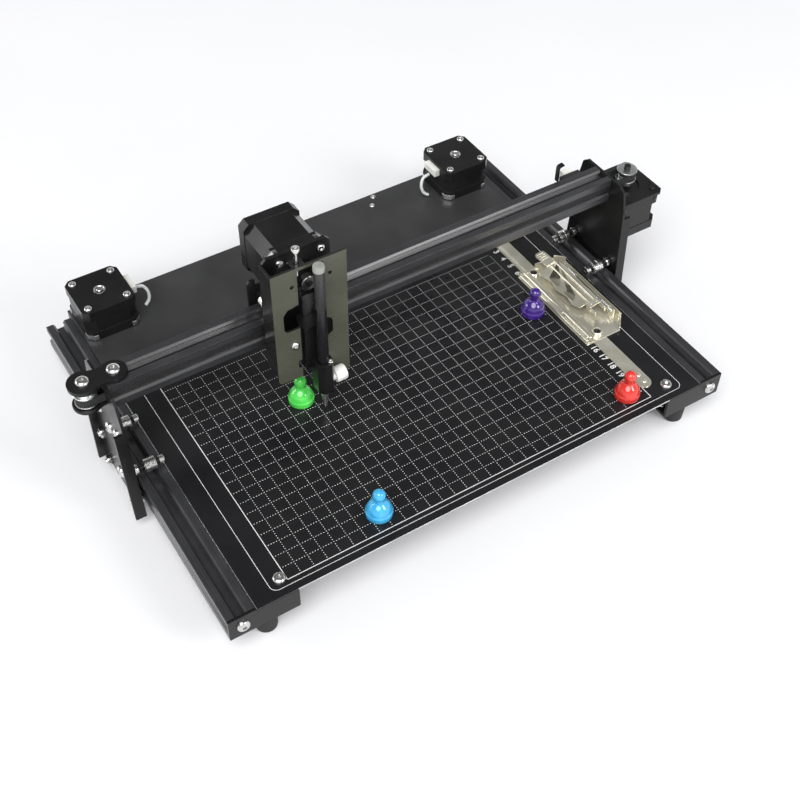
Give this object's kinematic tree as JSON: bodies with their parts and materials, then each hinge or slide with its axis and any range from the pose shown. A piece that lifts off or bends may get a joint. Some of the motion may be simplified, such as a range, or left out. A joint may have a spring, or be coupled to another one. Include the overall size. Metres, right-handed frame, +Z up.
{
  "type": "desktop pen plotter",
  "caption": "Desktop writing machine: belt-driven gantry on slotted rails moves a lifting pen over a gridded steel platen with a paper clip and push-pin magnets.",
  "frame": {"origin": "on the table, under the middle of the whole machine's bounding box", "axes": "+X along the cross beam towards its motor, +Y to the rear deck and its motors, +Z up"},
  "size_m": [0.4831, 0.316, 0.19],
  "materials": {
    "black_anodised": "black anodised extrusion, fine satin draw lines",
    "black_powder_coat": "satin black powder coat with a fine grain",
    "printed_black_sheet": "semi-gloss black sheet with a printed white centimetre grid",
    "gloss_black_sheet": "gloss black lacquer",
    "motor_black": "black cast end caps over dark laminations",
    "bright_steel": "bright turned steel",
    "nickel_plate": "warm polished nickel plate",
    "black_rubber": "matt black rubber",
    "circuit_board": "green solder mask",
    "lead_sleeve": "soft off-white sleeve",
    "pen_barrel": "black barrel with a metal cap and cone",
    "white_nylon": "white knurled nylon",
    "magnet_purple": "translucent purple plastic",
    "magnet_red": "translucent red plastic",
    "magnet_green": "translucent green plastic",
    "magnet_blue": "translucent light blue plastic"
  },
  "bodies": {
    "base": {"left_rail": "black_anodised", "right_rail": "black_anodised", "front_bracket_left": "black_powder_coat", "front_bracket_right": "black_powder_coat", "platen": "printed_black_sheet", "rear_deck": "black_powder_coat", "controller_board": "circuit_board", "foot_front_left": "black_rubber", "foot_front_right": "black_rubber", "foot_rear_left": "black_rubber", "foot_rear_right": "black_rubber", "y_motor_left": "motor_black", "y_motor_right": "motor_black", "y_belt_left": "black_rubber", "y_belt_right": "black_rubber", "y_motor_lead_left": "lead_sleeve", "y_motor_lead_right": "lead_sleeve", "clip_base": "nickel_plate"},
    "gantry": {"side_plate_left": "black_powder_coat", "side_plate_right": "black_powder_coat", "belt_clamp_left": "black_powder_coat", "belt_clamp_right": "black_powder_coat", "x_beam": "black_anodised", "x_motor_plate": "black_powder_coat", "x_motor": "motor_black", "idler_bracket": "black_powder_coat", "x_belt": "black_rubber"},
    "carriage": {"carriage_plate": "black_powder_coat", "carriage_rear_plate": "black_powder_coat", "pen_front_plate": "gloss_black_sheet", "height_screw": "bright_steel", "z_motor": "motor_black", "lift_rail": "bright_steel"},
    "pen_lift": {"pen_slider": "black_powder_coat", "pen_clamp": "black_powder_coat", "pen": "pen_barrel"},
    "y_pulley_left": {"y_pulley_left": "bright_steel"},
    "y_idler_left": {"y_idler_left": "bright_steel"},
    "y_pulley_right": {"y_pulley_right": "bright_steel"},
    "y_idler_right": {"y_idler_right": "bright_steel"},
    "x_pulley": {"x_pulley": "bright_steel"},
    "x_idler": {"x_idler": "bright_steel"},
    "roller_upper_front_left": {"roller_upper_front_left": "bright_steel"},
    "roller_lower_front_left": {"roller_lower_front_left": "bright_steel"},
    "roller_upper_rear_left": {"roller_upper_rear_left": "bright_steel"},
    "roller_lower_rear_left": {"roller_lower_rear_left": "bright_steel"},
    "roller_upper_front_right": {"roller_upper_front_right": "bright_steel"},
    "roller_lower_front_right": {"roller_lower_front_right": "bright_steel"},
    "roller_upper_rear_right": {"roller_upper_rear_right": "bright_steel"},
    "roller_lower_rear_right": {"roller_lower_rear_right": "bright_steel"},
    "carriage_roller_top_left": {"carriage_roller_top_left": "bright_steel"},
    "carriage_roller_top_right": {"carriage_roller_top_right": "bright_steel"},
    "carriage_roller_bottom": {"carriage_roller_bottom": "bright_steel"},
    "lift_pinion": {"lift_pinion": "bright_steel"},
    "thumb_screw": {"thumb_screw": "white_nylon"},
    "clip_lever": {"clip_lever": "nickel_plate"},
    "magnet_purple": {"magnet_purple": "magnet_purple"},
    "magnet_red": {"magnet_red": "magnet_red"},
    "magnet_green": {"magnet_green": "magnet_green"},
    "magnet_blue": {"magnet_blue": "magnet_blue"}
  },
  "joints": [
    {"name": "gantry_y", "type": "slide", "parent": "base", "child": "gantry", "axis": [0, 1, 0], "range_m": [-0.105, 0.085]},
    {"name": "carriage_x", "type": "slide", "parent": "gantry", "child": "carriage", "axis": [1, 0, 0], "range_m": [-0.09, 0.175]},
    {"name": "pen_lift", "type": "slide", "parent": "carriage", "child": "pen_lift", "axis": [0, 0, 1], "range_m": [-0.0025, 0.008]},
    {"name": "y_pulley_left_spin", "type": "hinge", "parent": "base", "child": "y_pulley_left", "pos_m": [-0.1729, 0.1365, 0.0285], "axis": [0, 0, 1], "range_deg": [-770, 950]},
    {"name": "y_idler_left_spin", "type": "hinge", "parent": "base", "child": "y_idler_left", "pos_m": [-0.1729, -0.145, 0.0285], "axis": [0, 0, 1], "range_deg": [-770, 950]},
    {"name": "y_pulley_right_spin", "type": "hinge", "parent": "base", "child": "y_pulley_right", "pos_m": [0.1505, 0.1365, 0.0285], "axis": [0, 0, 1], "range_deg": [-950, 770]},
    {"name": "y_idler_right_spin", "type": "hinge", "parent": "base", "child": "y_idler_right", "pos_m": [0.1505, -0.145, 0.0285], "axis": [0, 0, 1], "range_deg": [-950, 770]},
    {"name": "x_pulley_spin", "type": "hinge", "parent": "gantry", "child": "x_pulley", "pos_m": [0.2203, 0.0025, 0.109], "axis": [0, 0, 1], "range_deg": [-815, 1580]},
    {"name": "x_idler_spin", "type": "hinge", "parent": "gantry", "child": "x_idler", "pos_m": [-0.2309, 0.0025, 0.109], "axis": [0, 0, 1], "range_deg": [-815, 1580]},
    {"name": "roller_upper_front_left_spin", "type": "hinge", "parent": "gantry", "child": "roller_upper_front_left", "pos_m": [-0.2055, -0.01925, 0.0453], "axis": [1, 0, 0], "range_deg": [-980, 1210]},
    {"name": "roller_lower_front_left_spin", "type": "hinge", "parent": "gantry", "child": "roller_lower_front_left", "pos_m": [-0.2055, -0.01925, 0.0147], "axis": [1, 0, 0], "range_deg": [-1210, 980]},
    {"name": "roller_upper_rear_left_spin", "type": "hinge", "parent": "gantry", "child": "roller_upper_rear_left", "pos_m": [-0.2055, 0.02425, 0.0453], "axis": [1, 0, 0], "range_deg": [-980, 1210]},
    {"name": "roller_lower_rear_left_spin", "type": "hinge", "parent": "gantry", "child": "roller_lower_rear_left", "pos_m": [-0.2055, 0.02425, 0.0147], "axis": [1, 0, 0], "range_deg": [-1210, 980]},
    {"name": "roller_upper_front_right_spin", "type": "hinge", "parent": "gantry", "child": "roller_upper_front_right", "pos_m": [0.1831, -0.01925, 0.0453], "axis": [1, 0, 0], "range_deg": [-980, 1210]},
    {"name": "roller_lower_front_right_spin", "type": "hinge", "parent": "gantry", "child": "roller_lower_front_right", "pos_m": [0.1831, -0.01925, 0.0147], "axis": [1, 0, 0], "range_deg": [-1210, 980]},
    {"name": "roller_upper_rear_right_spin", "type": "hinge", "parent": "gantry", "child": "roller_upper_rear_right", "pos_m": [0.1831, 0.02425, 0.0453], "axis": [1, 0, 0], "range_deg": [-980, 1210]},
    {"name": "roller_lower_rear_right_spin", "type": "hinge", "parent": "gantry", "child": "roller_lower_rear_right", "pos_m": [0.1831, 0.02425, 0.0147], "axis": [1, 0, 0], "range_deg": [-1210, 980]},
    {"name": "carriage_roller_top_left_spin", "type": "hinge", "parent": "carriage", "child": "carriage_roller_top_left", "pos_m": [-0.096, 0.0025, 0.1243], "axis": [0, 1, 0], "range_deg": [-1040, 2015]},
    {"name": "carriage_roller_top_right_spin", "type": "hinge", "parent": "carriage", "child": "carriage_roller_top_right", "pos_m": [-0.063, 0.0025, 0.1243], "axis": [0, 1, 0], "range_deg": [-1040, 2015]},
    {"name": "carriage_roller_bottom_spin", "type": "hinge", "parent": "carriage", "child": "carriage_roller_bottom", "pos_m": [-0.0795, 0.0025, 0.0937], "axis": [0, 1, 0], "range_deg": [-2015, 1040]},
    {"name": "lift_pinion_spin", "type": "hinge", "parent": "carriage", "child": "lift_pinion", "pos_m": [-0.0769, -0.0213, 0.155], "axis": [0, 1, 0], "range_deg": [-85, 30]},
    {"name": "thumb_screw_turn", "type": "hinge", "parent": "pen_lift", "child": "thumb_screw", "pos_m": [-0.0758, -0.0358, 0.073], "axis": [1, 0, 0], "range_deg": [0, 360]},
    {"name": "clip_lever_turn", "type": "hinge", "parent": "base", "child": "clip_lever", "pos_m": [0.1603, -0.0385, 0.05], "axis": [0, 1, 0], "range_deg": [0, 40]},
    {"name": "magnet_purple_lift", "type": "slide", "parent": "base", "child": "magnet_purple", "axis": [0, 0, 1], "range_m": [0, 0.012]},
    {"name": "magnet_red_lift", "type": "slide", "parent": "base", "child": "magnet_red", "axis": [0, 0, 1], "range_m": [0, 0.012]},
    {"name": "magnet_green_lift", "type": "slide", "parent": "base", "child": "magnet_green", "axis": [0, 0, 1], "range_m": [0, 0.012]},
    {"name": "magnet_blue_lift", "type": "slide", "parent": "base", "child": "magnet_blue", "axis": [0, 0, 1], "range_m": [0, 0.012]}
  ],
  "couplings": [
    {"joint": "y_pulley_left_spin", "follows": "gantry_y", "rad_per_m": -157.08},
    {"joint": "y_idler_left_spin", "follows": "gantry_y", "rad_per_m": -157.08},
    {"joint": "y_pulley_right_spin", "follows": "gantry_y", "rad_per_m": 157.08},
    {"joint": "y_idler_right_spin", "follows": "gantry_y", "rad_per_m": 157.08},
    {"joint": "x_pulley_spin", "follows": "carriage_x", "rad_per_m": 157.08},
    {"joint": "x_idler_spin", "follows": "carriage_x", "rad_per_m": 157.08},
    {"joint": "roller_upper_front_left_spin", "follows": "gantry_y", "rad_per_m": -200},
    {"joint": "roller_lower_front_left_spin", "follows": "gantry_y", "rad_per_m": 200},
    {"joint": "roller_upper_rear_left_spin", "follows": "gantry_y", "rad_per_m": -200},
    {"joint": "roller_lower_rear_left_spin", "follows": "gantry_y", "rad_per_m": 200},
    {"joint": "roller_upper_front_right_spin", "follows": "gantry_y", "rad_per_m": -200},
    {"joint": "roller_lower_front_right_spin", "follows": "gantry_y", "rad_per_m": 200},
    {"joint": "roller_upper_rear_right_spin", "follows": "gantry_y", "rad_per_m": -200},
    {"joint": "roller_lower_rear_right_spin", "follows": "gantry_y", "rad_per_m": 200},
    {"joint": "carriage_roller_top_left_spin", "follows": "carriage_x", "rad_per_m": 200},
    {"joint": "carriage_roller_top_right_spin", "follows": "carriage_x", "rad_per_m": 200},
    {"joint": "carriage_roller_bottom_spin", "follows": "carriage_x", "rad_per_m": -200},
    {"joint": "lift_pinion_spin", "follows": "pen_lift", "rad_per_m": -166.67}
  ]
}
